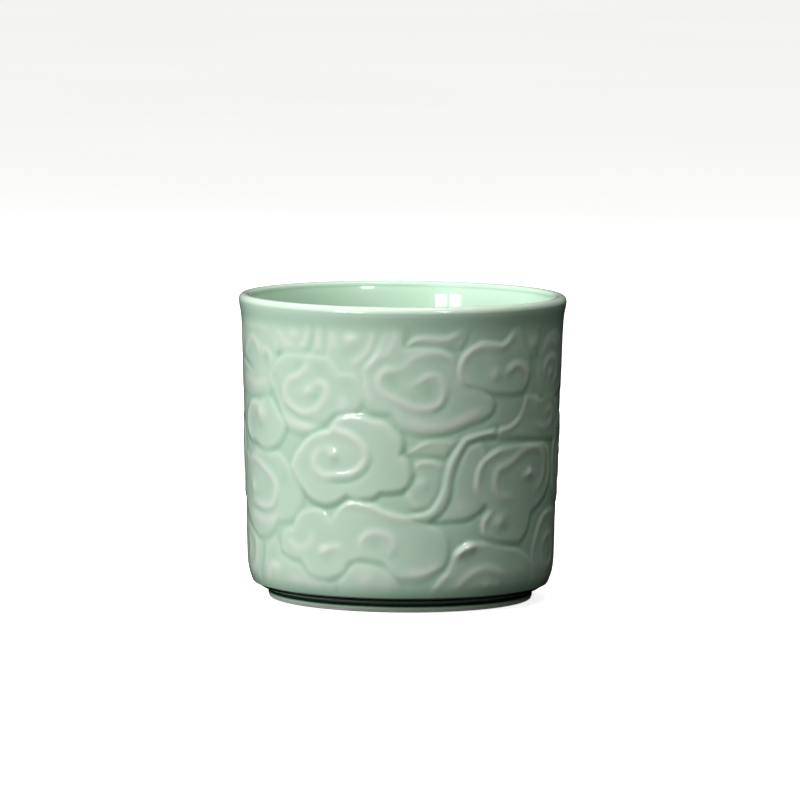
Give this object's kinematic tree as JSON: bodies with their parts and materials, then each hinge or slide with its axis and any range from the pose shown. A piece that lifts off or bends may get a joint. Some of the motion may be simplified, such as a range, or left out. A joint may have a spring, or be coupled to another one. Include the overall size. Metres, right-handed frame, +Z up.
{
  "type": "brush pot",
  "caption": "Celadon-glazed ceramic brush pot: a straight cylinder with auspicious clouds in low relief round its wall, a flared lip and a low foot ring.",
  "frame": {"origin": "middle of the plane that the foot ring stands on", "axes": "+Z up along the axis of the pot, -Y to the front, +X to the right seen from the front"},
  "size_m": [0.104, 0.104, 0.0965],
  "materials": {
    "celadon": "glossy",
    "clay": "matte"
  },
  "bodies": {
    "root": {"wall": "clay", "lip": "clay", "floor": "clay", "foot_ring": "clay", "glaze_inside": "celadon", "glaze_heel": "celadon", "glaze_base": "celadon", "cloud_crown_side": "celadon", "cloud_band_side": "celadon", "cloud_lip_left": "celadon", "cloud_lip_strand": "celadon", "cloud_lip_front": "celadon", "cloud_left_spiral": "celadon", "cloud_left_boss": "celadon", "cloud_left_wave": "celadon", "cloud_front_spiral": "celadon", "cloud_right_crown": "celadon", "cloud_lip_ribbon": "celadon", "cloud_right_curl": "celadon", "cloud_lip_right": "celadon", "cloud_upper_side": "celadon", "cloud_right_arm": "celadon", "cloud_leaf": "celadon", "cloud_swirl": "celadon", "cloud_long_ribbon": "celadon", "cloud_front_base": "celadon", "cloud_foot_front": "celadon", "cloud_crescent": "celadon", "cloud_right_spiral": "celadon", "cloud_foot_right": "celadon", "cloud_foot_side": "celadon", "cloud_side_spiral": "celadon", "cloud_foot_left": "celadon", "cloud_foot_back": "celadon"}
  },
  "joints": []
}
